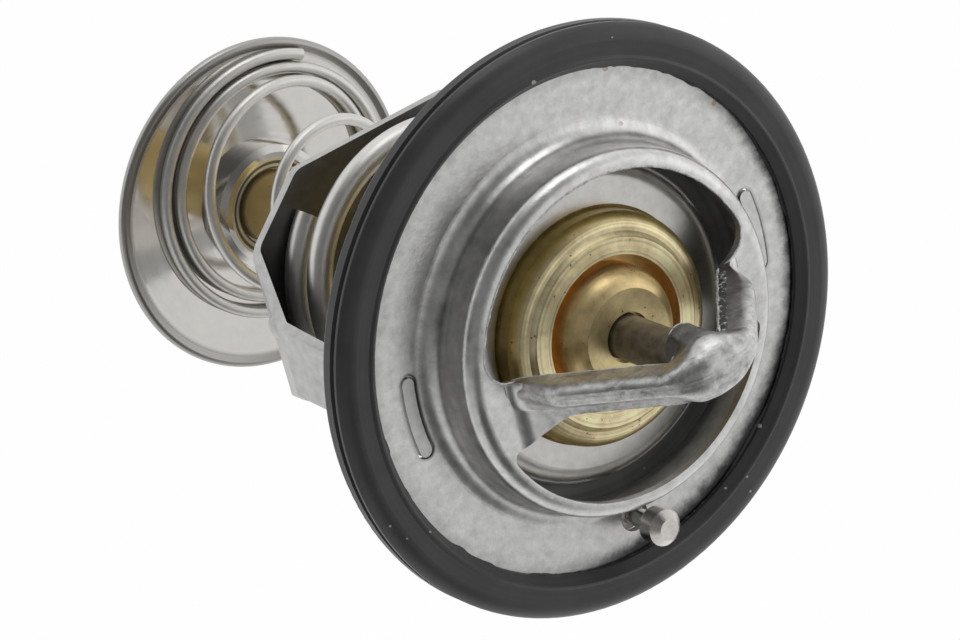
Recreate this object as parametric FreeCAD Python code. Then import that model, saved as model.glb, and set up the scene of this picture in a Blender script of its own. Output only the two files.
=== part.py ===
import FreeCAD, Part
import math
import os

# Engine coolant thermostat with a bypass valve, in millimetres.
# The Z axis is the thermostat's axis. The bridge points up, and the bypass disc is at the bottom.
# The origin is on the axis, in the plane of the flange's front face. The bridge runs along X.

# Sheet of the flange stamping, and its flange and collar
sheet = 0.9
flange_radius = 28.0
collar_radius = 19.2
collar_fillet = 2.2
rim_height = 6.3
rim_round = 1.6
opening_radius = 17.4

# Bridge across the collar
web_height = 20.3
web_half_length = 2.9
leg_foot = 13.9
foot_bend = 2.5
web_bend = 3.2
strap_front_edge = 1.6
strap_rear_edge = -2.65
foot_rear_edge = -5.6
foot_flare_start = 10.9
foot_flare_end = 14.0
window_front_fillet = 3.0
window_rear_fillet = 1.0
foot_flare_fillet = 2.0
rib_radius = 1.15
rib_lift = 1.5
rib_front_step = 0.1
rib_wall = 0.6
rib_root = 0.3
rib_knee = 4.2
rib_end = 0.6
rib_end_sink = 0.7
socket_wall = 0.85
socket_skirt = 1.6
socket_front_skirt = 4.2
socket_rise = 1.1
socket_round = 1.8
socket_clearance = 0.1

# Slots of the flange, and the yoke's tabs staked in them
slot_radius = 22.45
slot_width = 1.9
slot_length = 9.4
tab_clearance = 0.25
tab_proud = 0.12

# Rubber gasket round the flange's edge
gasket_rim = 3.0
gasket_grip = 1.5
gasket_front_lip = 1.3
gasket_rear_lip = 1.4
gasket_lip_edge = 0.5
gasket_lip_slope = 0.7
gasket_shoulder = 1.7
gasket_shoulder_drop = 1.1
gasket_shoulder_bulge = 0.2
gasket_edge_round = 0.5
gasket_groove_depth = 0.7
gasket_groove_width = 0.7
gasket_ridge_height = 0.2
gasket_ridge_width = 0.3

# Yoke behind the flange
yoke_sheet = 1.0
yoke_depth = 33.0
yoke_plate_half_width = 15.0
yoke_plate_flat = 10.0
yoke_plate_reach = 17.4
yoke_plate_end_half_width = 8.4
yoke_leg_half_width = 3.8
yoke_leg_lean = 1.2
yoke_slant_height = 9.5
yoke_bend = 1.0
yoke_corner_fillet = 2.0
yoke_guide_height = 1.0
yoke_guide_wall = 1.0
yoke_guide_root = 0.1
yoke_leg_gap = 0.6
yoke_dimple_radius = 1.7
yoke_dimple_height = 0.6
yoke_dimple_offset = 2.0

# Piston of the wax element
piston_radius = 2.35
piston_chamfer = 0.5
piston_depth = 14.5
piston_clearance = 0.05
piston_seat_gap = 0.1
piston_end_gap = 0.5

# Brass cup and cap of the wax element
cup_radius = 12.25
cup_wall_top = 3.1
cup_shoulder_radius = 10.45
cup_shoulder_top = 4.3
cup_crest_radius = 9.9
cup_top = 4.9
cup_lip = 1.1
cup_lip_radius = 9.3
cup_lip_foot = 2.3
cup_wall = 1.4
cup_depth = 18.5
cup_floor = 1.8
cup_taper = 2.0
bowl_step = 1.0
shoulder_bulge = 0.25
wax_wall = 1.2
cap_rim_width = 1.2
cap_recess_radius = 7.0
cap_recess_floor = 2.6
cap_floor = 1.2
cap_dome_foot = 3.6
cap_dome_top = 7.0
cap_dome_bulge = 0.45
cap_dome_flat_radius = 5.1
cap_mouth_radius = 2.65
cap_mouth_depth = 0.9

# Rubber sleeve and washer round the piston, inside the cup
sleeve_flange = 1.2
sleeve_wall = 1.4
washer_height = 0.9
washer_width = 1.3

# Stem of the cup
stem_radius = 4.0
stem_clearance = 0.3
stem_end = 0.3
groove_depth = 0.7

# Main valve
disc_sheet = 1.1
disc_top = 1.3
disc_radius = 17.1
disc_round = 2.1
disc_neck = 2.8
neck_wall = 0.65
disc_mouth = 0.3
seal_radius = 20.1
seal_thickness = 2.0
seal_gap = 0.05
seal_edge = 0.15
backing_sheet = 0.6
backing_radius = 18.6
seat_sheet = 0.9
seat_radius = 17.6
seat_lip = 1.8
seat_lip_gap = 0.25

# Main spring
spring_wire = 2.7
spring_mean_radius = 15.0
spring_active_turns = 2.45
spring_end_turns = 1.0
spring_end_pitch = 3.9
spring_start_angle = 136.0
spring_points_per_turn = 14

# Bypass valve
bypass_radius = 18.4
bypass_depth = 60.3
bypass_sheet = 0.9
bypass_rim_radius = 0.6
hub_radius = 6.9
hub_crest_radius = 5.9
hub_height = 2.3
hub_drop = 0.5
hub_crest_flat = 0.6
hub_edge = 0.5
bypass_wire = 1.3
bypass_closed_pitch = 1.4
bypass_large_radius = 14.6
bypass_nested_radius = 12.0
bypass_loop_radius = 9.5
bypass_small_radius = 7.2
bypass_nested_turns = 1.9
bypass_nested_rise = 0.4
bypass_loop_turns = 1.0
bypass_loop_rise = 9.4
bypass_upper_turns = 1.2
bypass_end_turns = 0.9
bypass_start_angle = 60.0
bypass_shift_x = 1.85
bypass_shift_y = 1.45
bypass_seat_radius = 10.6
bypass_seat_gap = 0.8
bypass_seat_sheet = 1.0
clip_sheet = 0.8
clip_radius = 5.6
clip_gap = 0.05
clip_mouth = 5.2

# Jiggle pin in the flange's vent hole
jiggle_place_radius = 22.5
jiggle_place_angle = -91.2
vent_radius = 1.7
vent_notch_width = 0.9
vent_notch_reach = 2.7
jiggle_head_radius = 1.95
jiggle_head_height = 2.6
jiggle_head_chamfer = 0.8
jiggle_neck_radius = 1.0
jiggle_stand_off = 3.4
jiggle_bead_radius = 2.1
jiggle_bead_gap = 0.05
jiggle_tail = 0.5

# Sizes worked out from the driving ones
collar_inner = collar_radius - sheet
gasket_radius = flange_radius + gasket_rim
gasket_inner_radius = flange_radius - gasket_grip
plate_top = -yoke_depth + yoke_sheet
socket_radius = piston_radius + socket_clearance
socket_top = web_height + socket_rise
piston_top = socket_top - socket_wall - piston_seat_gap
guide_radius = piston_radius + piston_clearance
stem_hole = stem_radius + stem_clearance
bypass_face = -bypass_depth
seat_lip_radius = spring_mean_radius - spring_wire / 2 - seat_lip_gap
seal_top = disc_top - disc_round - seal_gap
seal_bottom = seal_top - seal_thickness
backing_bottom = seal_bottom - backing_sheet
seat_bottom = backing_bottom - seat_sheet
cap_bottom = cap_recess_floor - cap_floor
cup_bore = cup_radius - cup_wall
lip_bottom = cup_top - cup_lip
sleeve_top = cap_bottom
sleeve_ledge = sleeve_top - sleeve_flange
sleeve_bottom = -piston_depth - piston_end_gap
sleeve_radius = guide_radius + sleeve_wall
wax_radius = cup_bore - wax_wall
wax_bottom = -cup_depth + cup_floor
hub_top = bypass_face + bypass_sheet + hub_height
hub_under = hub_top - hub_drop - bypass_sheet
clip_top = hub_under - clip_gap
clip_bottom = clip_top - clip_sheet
bypass_seat_top = -yoke_depth - bypass_seat_gap
bypass_seat_bottom = bypass_seat_top - bypass_seat_sheet
AXIS = FreeCAD.Vector(0, 0, 1)


def point(x, z, y=0.0):
    return FreeCAD.Vector(x, y, z)


def outline(start, steps):
    # A step is the next corner (r, z), or a pair of points: one on an arc, and its end.
    edges = []
    here = point(*start)
    for step in steps:
        if isinstance(step[0], tuple):
            middle = point(*step[0])
            there = point(*step[1])
            edges.append(Part.Arc(here, middle, there).toShape())
        else:
            there = point(*step)
            edges.append(Part.makeLine(here, there))
        here = there
    if here.distanceToPoint(point(*start)) > 1e-6:
        edges.append(Part.makeLine(here, point(*start)))
    return Part.Face(Part.Wire(edges))


def turned(start, steps):
    return outline(start, steps).revolve(point(0, 0), AXIS, 360)


def arc_to(centre, radius, start_angle, end_angle):
    # The middle and the end of an arc round centre, for a step of an outline.
    def on_arc(angle):
        turn = math.radians(angle)
        return centre[0] + radius * math.cos(turn), centre[1] + radius * math.sin(turn)
    return on_arc((start_angle + end_angle) / 2), on_arc(end_angle)


def tube(outer, inner, bottom, top):
    return turned((inner, bottom), [(outer, bottom), (outer, top), (inner, top)])


def rod(radius, bottom, top, x=0.0, y=0.0):
    return Part.makeCylinder(radius, top - bottom, FreeCAD.Vector(x, y, bottom), AXIS)


def fuse(shapes):
    return shapes[0].fuse(shapes[1:]).removeSplitter()


def solid_of(shape):
    solids = shape.Solids
    return max(solids, key=lambda solid: solid.Volume)


def curved_slot(radius, width, length, bottom, top, side):
    # A slot bent round the axis, with round ends. side is 1 at +X and -1 at -X.
    half_angle = math.degrees(math.asin((length - width) / 2 / radius))
    ring = tube(radius + width / 2, radius - width / 2, bottom, top)
    sector = Part.makeCylinder(radius * 2, top - bottom, FreeCAD.Vector(0, 0, bottom), AXIS, 2 * half_angle)
    sector.rotate(point(0, 0), AXIS, -half_angle)
    body = ring.common(sector)
    ends = []
    for turn in (-half_angle, half_angle):
        x = radius * math.cos(math.radians(turn))
        y = radius * math.sin(math.radians(turn))
        ends.append(rod(width / 2, bottom, top, x, y))
    slot = fuse([body] + ends)
    if side < 0:
        slot.rotate(point(0, 0), AXIS, 180)
    return slot


def corner_path(corners, radii):
    # Straight runs joined by tangent arcs in the XZ plane. radii are those of the inner corners.
    edges = []
    here = point(*corners[0])
    for i in range(1, len(corners) - 1):
        corner = point(*corners[i])
        back = (point(*corners[i - 1]) - corner).normalize()
        ahead = (point(*corners[i + 1]) - corner).normalize()
        half = back.getAngle(ahead) / 2
        reach = radii[i - 1] / math.tan(half)
        middle_way = (back + ahead).normalize()
        centre = corner + middle_way * (radii[i - 1] / math.sin(half))
        start = corner + back * reach
        end = corner + ahead * reach
        edges.append(Part.makeLine(here, start))
        edges.append(Part.Arc(start, centre - middle_way * radii[i - 1], end).toShape())
        here = end
    edges.append(Part.makeLine(here, point(*corners[-1])))
    return edges


def leg_angle():
    return math.atan2(web_height - rim_height, leg_foot - web_half_length)


def bridge_corners(offset, end):
    # Corners of the bridge's side view, moved outwards by offset from the sheet's outer face.
    slant = math.tan(leg_angle() / 2) * offset
    foot = leg_foot + slant
    web = web_half_length + slant
    low = rim_height + offset
    high = web_height + offset
    return [(-end, low), (-foot, low), (-web, high), (web, high), (foot, low), (end, low)]


def bridge_sheet():
    outer = corner_path(bridge_corners(0, collar_radius - rim_round), [foot_bend, web_bend, web_bend, foot_bend])
    inner = corner_path(
        bridge_corners(-sheet, collar_radius - rim_round),
        [foot_bend + sheet, web_bend - sheet, web_bend - sheet, foot_bend + sheet])
    first = Part.makeLine(outer[0].Vertexes[0].Point, inner[0].Vertexes[0].Point)
    last = Part.makeLine(outer[-1].Vertexes[-1].Point, inner[-1].Vertexes[-1].Point)
    wire = Part.Wire(Part.__sortEdges__(outer + inner + [first, last]))
    width = 2 * collar_radius
    face = Part.Face(wire)
    face.translate(FreeCAD.Vector(0, -collar_radius, 0))
    slab = face.extrude(FreeCAD.Vector(0, width, 0))
    return slab.common(rod(opening_radius, -sheet, web_height + sheet))


def window(corners, fillets):
    # A window beside the bridge, cut from the opening's circle. fillets are (radius, corner test) pairs.
    wire = Part.makePolygon([FreeCAD.Vector(x, y, 0) for x, y in corners + corners[:1]])
    prism = Part.Face(wire).extrude(FreeCAD.Vector(0, 0, web_height + sheet))
    prism = prism.common(rod(opening_radius, 0, web_height + sheet))
    for radius, wanted in fillets:
        upright = []
        for edge in prism.Edges:
            low, high = edge.Vertexes[0].Point, edge.Vertexes[-1].Point
            if abs(low.x - high.x) < 1e-6 and abs(low.y - high.y) < 1e-6 and wanted(low):
                upright.append(edge)
        prism = prism.makeFillet(radius, upright)
    return prism


def front_window():
    far = collar_radius
    corners = [(-far, strap_front_edge), (far, strap_front_edge), (far, far), (-far, far)]
    return window(corners, [(window_front_fillet, lambda p: True)])


def rear_window():
    far = collar_radius
    corners = [
        (-far, -far), (-far, foot_rear_edge), (-foot_flare_end, foot_rear_edge),
        (-foot_flare_start, strap_rear_edge), (foot_flare_start, strap_rear_edge),
        (foot_flare_end, foot_rear_edge), (far, foot_rear_edge), (far, -far)]
    flare = (foot_flare_start + opening_radius) / 2
    return window(corners, [
        (foot_flare_fillet, lambda p: abs(p.x) < flare),
        (window_rear_fillet, lambda p: abs(p.x) > flare)])


def leg_point(offset, along):
    # A point beside the left leg: offset from its outer face, and a way up from its foot.
    turn = leg_angle()
    corner = bridge_corners(offset, leg_foot)[1]
    return corner[0] + along * math.cos(turn), corner[1] + along * math.sin(turn)


def rib(low_points, radius, depth):
    # A rib along the bridge with a round top and upright flanks, which starts at low_points on both legs.
    web = bridge_corners(rib_lift, leg_foot)[2]
    left = low_points + [web]
    corners = left + [(-x, z) for x, z in reversed(left)]
    bends = [web_bend] * (len(low_points) - 1) + [web_bend + rib_lift]
    path = Part.Wire(corner_path(corners, bends + bends[::-1]))
    along = (point(*left[1]) - point(*left[0])).normalize()
    up = FreeCAD.Vector(-along.z, 0, along.x)
    start = point(*left[0])
    front = start + FreeCAD.Vector(0, radius, 0)
    rear = start - FreeCAD.Vector(0, radius, 0)
    section = Part.Wire([
        Part.Arc(front, start + up * radius, rear).toShape(),
        Part.makeLine(rear, rear - up * depth),
        Part.makeLine(rear - up * depth, front - up * depth),
        Part.makeLine(front - up * depth, front)])
    end = Part.makeSphere(radius, start).fuse(Part.makeCylinder(radius, depth, start, up * -1))
    body = fuse([path.makePipeShell([section], True, False), end, end.mirror(point(0, 0), point(1, 0))])
    body.translate(FreeCAD.Vector(0, strap_front_edge - rib_front_step - rib_radius, 0))
    return body


def outer_rib():
    # The rib climbs out of the sheet near each foot. What would stand out under the sheet is left off.
    low = [leg_point(-rib_end_sink, rib_end), leg_point(rib_lift, rib_knee)]
    bends = [foot_bend + rib_root, web_bend - rib_root, web_bend - rib_root, foot_bend + rib_root]
    inner = corner_path(bridge_corners(-rib_root, collar_radius), bends)
    left = point(-collar_radius, 0)
    right = point(collar_radius, 0)
    first = Part.makeLine(left, inner[0].Vertexes[0].Point)
    last = Part.makeLine(inner[-1].Vertexes[-1].Point, right)
    below = Part.Face(Part.Wire(Part.__sortEdges__([first] + inner + [last, Part.makeLine(right, left)])))
    below.translate(FreeCAD.Vector(0, -collar_radius, 0))
    return rib(low, rib_radius, rib_lift + rib_root).cut(below.extrude(FreeCAD.Vector(0, 2 * collar_radius, 0)))


def rib_hollow():
    # The groove that the punch leaves under the rib.
    return rib([leg_point(rib_lift, rib_knee)], rib_radius - rib_wall, rib_lift + 2 * sheet)


def socket_shell(skirt):
    radius = socket_radius + socket_wall
    edge = (radius - socket_round, socket_top - socket_round)
    return turned((0, web_height - skirt), [
        (radius, web_height - skirt),
        (radius, edge[1]),
        arc_to(edge, socket_round, 0, 90),
        (0, socket_top)])


def socket():
    # A cup with a rounded edge, which holds the piston's tip. Its skirt reaches lower in front.
    drop = math.degrees(math.atan2(socket_front_skirt - socket_skirt, socket_radius + socket_wall))
    size = 2 * collar_radius
    above = Part.makeBox(size, size, size, FreeCAD.Vector(-size / 2, -size / 2, 0))
    above.rotate(point(0, 0), FreeCAD.Vector(1, 0, 0), -drop)
    above.translate(point(0, web_height - socket_skirt))
    return socket_shell(socket_skirt).fuse(socket_shell(socket_front_skirt + rib_root).common(above))


def stamped_ring():
    # The flange and the collar: one sheet of even thickness, bent up and then in.
    foot = (collar_radius + collar_fillet, collar_fillet)
    top = (collar_radius - rim_round, rim_height - rim_round)
    return turned((flange_radius, 0), [
        (foot[0], 0),
        arc_to(foot, collar_fillet, -90, -180),
        (collar_radius, top[1]),
        arc_to(top, rim_round, 0, 90),
        (opening_radius, rim_height),
        (opening_radius, rim_height - sheet),
        (top[0], rim_height - sheet),
        arc_to(top, rim_round - sheet, 90, 0),
        (collar_inner, foot[1]),
        arc_to(foot, collar_fillet + sheet, 180, 270),
        (flange_radius, -sheet)])


def jiggle_place():
    turn = math.radians(jiggle_place_angle)
    return jiggle_place_radius * math.cos(turn), jiggle_place_radius * math.sin(turn)


def vent_hole():
    x, y = jiggle_place()
    hole = rod(vent_radius, -2 * sheet, sheet, x, y)
    notch = Part.makeBox(
        vent_notch_width, vent_notch_reach, 3 * sheet,
        FreeCAD.Vector(x - vent_notch_width / 2, y, -2 * sheet))
    return hole.fuse(notch)


def flange_bridge():
    sheet_part = bridge_sheet().cut(front_window()).cut(rear_window())
    raised = fuse([stamped_ring(), sheet_part, outer_rib(), socket()])
    piston_hole = rod(socket_radius, 0, socket_top - socket_wall)
    stamping = raised.cut(rib_hollow()).cut(piston_hole)
    for side in (1, -1):
        stamping = stamping.cut(curved_slot(slot_radius, slot_width, slot_length, -2 * sheet, sheet, side))
    return solid_of(stamping.cut(vent_hole()))


def rim_gasket():
    front = gasket_front_lip
    rear = -sheet - gasket_rear_lip
    middle = (front + rear) / 2
    groove = gasket_groove_width / 2
    round_r = gasket_radius - gasket_edge_round
    crest = gasket_inner_radius + gasket_lip_slope
    shoulder = gasket_radius - gasket_shoulder
    edge = front - gasket_shoulder_drop
    bulge = ((shoulder + gasket_radius) / 2 + gasket_shoulder_bulge, (front + edge) / 2 + gasket_shoulder_bulge)
    return turned((gasket_inner_radius, 0), [
        (gasket_inner_radius, gasket_lip_edge),
        (crest, front),
        (crest + gasket_ridge_width / 2, front + gasket_ridge_height),
        (crest + gasket_ridge_width, front + gasket_ridge_height),
        (crest + 2 * gasket_ridge_width, front),
        (shoulder, front),
        (bulge, (gasket_radius, edge)),
        (gasket_radius, middle + groove),
        (gasket_radius - gasket_groove_depth, middle),
        (gasket_radius, middle - groove),
        (gasket_radius, rear + gasket_edge_round),
        arc_to((round_r, rear + gasket_edge_round), gasket_edge_round, 0, -90),
        (gasket_inner_radius, rear),
        (gasket_inner_radius, -sheet),
        (flange_radius, -sheet),
        (flange_radius, 0)])


def yoke_slant():
    knee = slot_radius + yoke_sheet / 2 - yoke_leg_lean
    return math.atan2(yoke_slant_height, knee - yoke_plate_reach)


def yoke_side():
    # Side view of the yoke: plate, slanted shoulders and upright legs, bent from one strip.
    leg = slot_radius + yoke_sheet / 2
    knee = leg - yoke_leg_lean
    shoulder = -yoke_depth + yoke_slant_height
    top = -sheet - yoke_leg_gap
    outer = [(-leg, top), (-knee, shoulder), (-yoke_plate_reach, -yoke_depth),
             (yoke_plate_reach, -yoke_depth), (knee, shoulder), (leg, top)]
    slant = yoke_slant()
    upright = math.atan2(top - shoulder, yoke_leg_lean)
    low_shift = yoke_sheet * math.tan(slant / 2)
    across = yoke_sheet * math.cos((upright + slant) / 2) / math.cos((upright - slant) / 2)
    inward = yoke_sheet * math.sin((upright + slant) / 2) / math.cos((upright - slant) / 2)
    leg_shift = yoke_sheet / math.sin(upright)
    inner_knee = (knee - inward, shoulder + across)
    inner = [(-leg + leg_shift, top), (-inner_knee[0], inner_knee[1]), (-yoke_plate_reach + low_shift, plate_top),
             (yoke_plate_reach - low_shift, plate_top), inner_knee, (leg - leg_shift, top)]
    outer_edges = corner_path(outer, [yoke_bend + yoke_sheet] * 4)
    inner_edges = corner_path(inner, [yoke_bend] * 4)
    first = Part.makeLine(point(*outer[0]), point(*inner[0]))
    last = Part.makeLine(point(*outer[-1]), point(*inner[-1]))
    return Part.Face(Part.Wire(Part.__sortEdges__(outer_edges + inner_edges + [first, last])))


def yoke_plan():
    # Plan view of the yoke: a wide plate with slanted corners that narrows to the two legs.
    end = slot_radius + yoke_sheet
    knee = slot_radius - yoke_leg_lean
    quarter = [(end, yoke_leg_half_width), (knee, yoke_leg_half_width),
               (yoke_plate_reach, yoke_plate_end_half_width), (yoke_plate_flat, yoke_plate_half_width)]
    front = quarter + [(-x, y) for x, y in reversed(quarter)]
    corners = front + [(x, -y) for x, y in reversed(front)]
    wire = Part.makePolygon([FreeCAD.Vector(x, y, -yoke_depth) for x, y in corners + corners[:1]])
    prism = Part.Face(wire).extrude(FreeCAD.Vector(0, 0, yoke_depth))
    rounded = []
    for edge in prism.Edges:
        low, high = edge.Vertexes[0].Point, edge.Vertexes[-1].Point
        if abs(low.x - high.x) < 1e-6 and abs(low.y - high.y) < 1e-6 and abs(low.x) < end - 1e-3:
            rounded.append(edge)
    return prism.makeFillet(yoke_corner_fillet, rounded)


def yoke_dimple(side):
    # A stiffening dimple on the outside of the slanted shoulder. side is 1 at +X and -1 at -X.
    slant = yoke_slant()
    middle = yoke_slant_height / 2 / math.sin(slant)
    sink = yoke_dimple_radius - yoke_dimple_height
    x = yoke_plate_reach + middle * math.cos(slant) - sink * math.sin(slant)
    z = -yoke_depth + middle * math.sin(slant) + sink * math.cos(slant)
    ball = Part.makeSphere(yoke_dimple_radius, FreeCAD.Vector(side * x, -side * yoke_dimple_offset, z))
    return ball.common(yoke_shoulder_space(side))


def yoke_shoulder_space(side):
    # The space outside the inner face of a slanted shoulder, so that a dimple doesn't show inside.
    slant = yoke_slant()
    length = yoke_slant_height / math.sin(slant)
    inner = (yoke_plate_reach - yoke_sheet * math.sin(slant), -yoke_depth + yoke_sheet * math.cos(slant))
    slab = Part.makeBox(
        length, 2 * yoke_plate_half_width, 2 * yoke_dimple_radius,
        FreeCAD.Vector(0, -yoke_plate_half_width, -2 * yoke_dimple_radius))
    slab.rotate(point(0, 0), FreeCAD.Vector(0, 1, 0), -math.degrees(slant))
    slab.translate(point(*inner))
    if side < 0:
        slab.rotate(point(0, 0), AXIS, 180)
    return slab


def yoke():
    strip = yoke_side()
    strip.translate(FreeCAD.Vector(0, -yoke_plate_half_width, 0))
    frame = strip.extrude(FreeCAD.Vector(0, 2 * yoke_plate_half_width, 0)).common(yoke_plan())
    guide_top = plate_top + yoke_guide_height
    guide = tube(stem_hole + yoke_guide_wall, stem_hole, plate_top - yoke_guide_root, guide_top)
    pieces = [frame, guide, yoke_dimple(1), yoke_dimple(-1)]
    for side in (1, -1):
        pieces.append(curved_slot(
            slot_radius, slot_width - 2 * tab_clearance, slot_length - 2 * tab_clearance,
            -sheet - 2 * yoke_sheet, tab_proud, side))
    hole = rod(stem_hole, -yoke_depth - yoke_sheet, guide_top + yoke_sheet)
    return solid_of(fuse(pieces).cut(hole))


def piston():
    return turned((0, -piston_depth), [
        (piston_radius - piston_chamfer, -piston_depth),
        (piston_radius, -piston_depth + piston_chamfer),
        (piston_radius, piston_top - piston_chamfer),
        (piston_radius - piston_chamfer, piston_top),
        (0, piston_top)])


def wax_cup():
    # Cup, lip rolled over the cap, floor and stem, turned from one bar.
    stem_bottom = bypass_face + stem_end
    taper_foot = -cup_depth - cup_taper
    groove_radius = stem_radius - groove_depth
    bowl_radius = cup_radius - bowl_step
    step = seat_bottom - bowl_step
    bend = ((cup_radius + cup_shoulder_radius) / 2 + shoulder_bulge,
            (cup_wall_top + cup_shoulder_top) / 2 + shoulder_bulge)
    return turned((0, wax_bottom), [
        (wax_radius - cup_taper, wax_bottom),
        (wax_radius, wax_bottom + cup_taper),
        (wax_radius, sleeve_ledge),
        (cup_bore, sleeve_ledge),
        (cup_bore, cup_lip_foot),
        (cup_lip_radius, lip_bottom),
        (cup_lip_radius, cup_top),
        (cup_crest_radius, cup_top),
        (cup_shoulder_radius, cup_shoulder_top),
        (bend, (cup_radius, cup_wall_top)),
        (cup_radius, step),
        (bowl_radius, step - bowl_step),
        (bowl_radius, -cup_depth + cup_taper),
        (stem_radius + cup_taper, -cup_depth),
        (stem_radius, taper_foot),
        (stem_radius, clip_top),
        (groove_radius, clip_top),
        (groove_radius, clip_bottom - clip_gap),
        (stem_radius, clip_bottom - clip_gap),
        (stem_radius, stem_bottom + groove_depth / 2),
        (stem_radius - groove_depth / 2, stem_bottom),
        (0, stem_bottom)])


def guide_cap():
    # Guide of the piston: a rim under the cup's lip, a groove and a raised dome.
    rim = cup_lip_radius - cap_rim_width
    flank = ((cap_recess_radius + cap_dome_flat_radius) / 2 + cap_dome_bulge,
             (cap_dome_foot + cap_dome_top) / 2 + cap_dome_bulge)
    return turned((guide_radius, cap_bottom), [
        (cup_bore, cap_bottom),
        (cup_bore, cup_lip_foot),
        (cup_lip_radius, lip_bottom),
        (cup_lip_radius, cup_top),
        (rim, cup_top),
        (rim, cap_recess_floor),
        (cap_recess_radius, cap_recess_floor),
        (cap_recess_radius, cap_dome_foot),
        (flank, (cap_dome_flat_radius, cap_dome_top)),
        (cap_mouth_radius, cap_dome_top),
        (cap_mouth_radius, cap_dome_top - cap_mouth_depth),
        (guide_radius, cap_dome_top - cap_mouth_depth)])


def rubber_sleeve():
    # A clamped flange and a long closed tube, which lies round the piston.
    pocket = guide_radius + washer_width
    return turned((0, sleeve_bottom - sleeve_wall), [
        (sleeve_radius, sleeve_bottom - sleeve_wall),
        (sleeve_radius, sleeve_ledge),
        (cup_bore, sleeve_ledge),
        (cup_bore, sleeve_top),
        (pocket, sleeve_top),
        (pocket, sleeve_top - washer_height),
        (guide_radius, sleeve_top - washer_height),
        (guide_radius, sleeve_bottom),
        (0, sleeve_bottom)])


def piston_washer():
    return tube(guide_radius + washer_width, guide_radius, sleeve_top - washer_height, sleeve_top)


def wax_charge():
    return turned((0, wax_bottom), [
        (wax_radius - cup_taper, wax_bottom),
        (wax_radius, wax_bottom + cup_taper),
        (wax_radius, sleeve_ledge),
        (sleeve_radius, sleeve_ledge),
        (sleeve_radius, sleeve_bottom - sleeve_wall),
        (0, sleeve_bottom - sleeve_wall)])


def main_valve_disc():
    # A pressed disc with a rounded edge, and an inner neck that grips the cup.
    edge = (disc_radius - disc_round, disc_top - disc_round)
    neck = cup_radius + neck_wall
    return turned((cup_radius, disc_top - disc_mouth), [
        (cup_radius + disc_mouth, disc_top),
        (edge[0], disc_top),
        arc_to(edge, disc_round, 90, 0),
        (disc_radius, seal_top),
        (disc_radius - disc_sheet, seal_top),
        (disc_radius - disc_sheet, edge[1]),
        arc_to(edge, disc_round - disc_sheet, 0, 90),
        (neck, disc_top - disc_sheet),
        (neck, disc_top - disc_neck),
        (cup_radius, disc_top - disc_neck)])


def main_valve_seal():
    inner = cup_radius + neck_wall + seal_gap
    return turned((inner, seal_bottom), [
        (seal_radius - seal_edge, seal_bottom),
        (seal_radius, seal_bottom + seal_edge),
        (seal_radius, seal_top - seal_edge),
        (seal_radius - seal_edge, seal_top),
        (inner, seal_top)])


def backing_ring():
    return tube(backing_radius, cup_radius, backing_bottom, seal_bottom)


def spring_seat():
    # A ring with a turned-down lip inside the spring's first turn.
    lip = seat_lip_radius - seat_sheet
    return turned((cup_radius, backing_bottom), [
        (seat_radius, backing_bottom),
        (seat_radius, seat_bottom),
        (seat_lip_radius, seat_bottom),
        (seat_lip_radius, seat_bottom - seat_lip),
        (lip, seat_bottom - seat_lip),
        (lip, seat_bottom),
        (cup_radius, seat_bottom)])


def coil(wire, start_angle, stations):
    # A round wire through stations of (turns, radius, height of its centre), eased from each to the next.
    points = []
    for (turn, radius, height), (next_turn, next_radius, next_height) in zip(stations, stations[1:]):
        count = int(round((next_turn - turn) * spring_points_per_turn))
        for i in range(count):
            share = i / count
            eased = share * share * (3 - 2 * share)
            angle = math.radians(start_angle) + 2 * math.pi * (turn + (next_turn - turn) * share)
            r = radius + (next_radius - radius) * eased
            z = height + (next_height - height) * share
            points.append(FreeCAD.Vector(r * math.cos(angle), r * math.sin(angle), z))
    turn, radius, height = stations[-1]
    angle = math.radians(start_angle) + 2 * math.pi * turn
    points.append(FreeCAD.Vector(radius * math.cos(angle), radius * math.sin(angle), height))
    curve = Part.BSplineCurve()
    curve.interpolate(points)
    path = Part.Wire(curve.toShape())
    start = curve.FirstParameter
    circle = Part.Wire(Part.makeCircle(wire / 2, curve.value(start), curve.tangent(start)[0]))
    return path.makePipeShell([circle], True, True)


def main_spring():
    # Each end has a closed turn, and the active turns share the height between them.
    low = plate_top + spring_wire / 2
    high = seat_bottom - spring_wire / 2
    rise = spring_end_turns * spring_end_pitch
    turns = spring_active_turns + 2 * spring_end_turns
    return coil(spring_wire, spring_start_angle, [
        (0, spring_mean_radius, low),
        (spring_end_turns, spring_mean_radius, low + rise),
        (turns - spring_end_turns, spring_mean_radius, high - rise),
        (turns, spring_mean_radius, high)])


def bypass_spring():
    # Two turns lie nested on the disc, the loops above them narrow, and a closed turn is under the seat.
    # The spring is loose on the stem, so it leans against the stem's side.
    low = bypass_face + bypass_sheet + bypass_wire / 2
    high = bypass_seat_bottom - bypass_wire / 2
    loop = bypass_nested_turns + bypass_loop_turns
    upper = loop + bypass_upper_turns
    wire = coil(bypass_wire, bypass_start_angle, [
        (0, bypass_large_radius, low),
        (bypass_nested_turns, bypass_nested_radius, low + bypass_nested_rise),
        (loop, bypass_loop_radius, low + bypass_loop_rise),
        (upper, bypass_small_radius, high - bypass_end_turns * bypass_closed_pitch),
        (upper + bypass_end_turns, bypass_small_radius, high)])
    wire.translate(FreeCAD.Vector(bypass_shift_x, bypass_shift_y, 0))
    return wire


def bypass_spring_seat():
    return tube(bypass_seat_radius, stem_radius, bypass_seat_bottom, bypass_seat_top)


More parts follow.
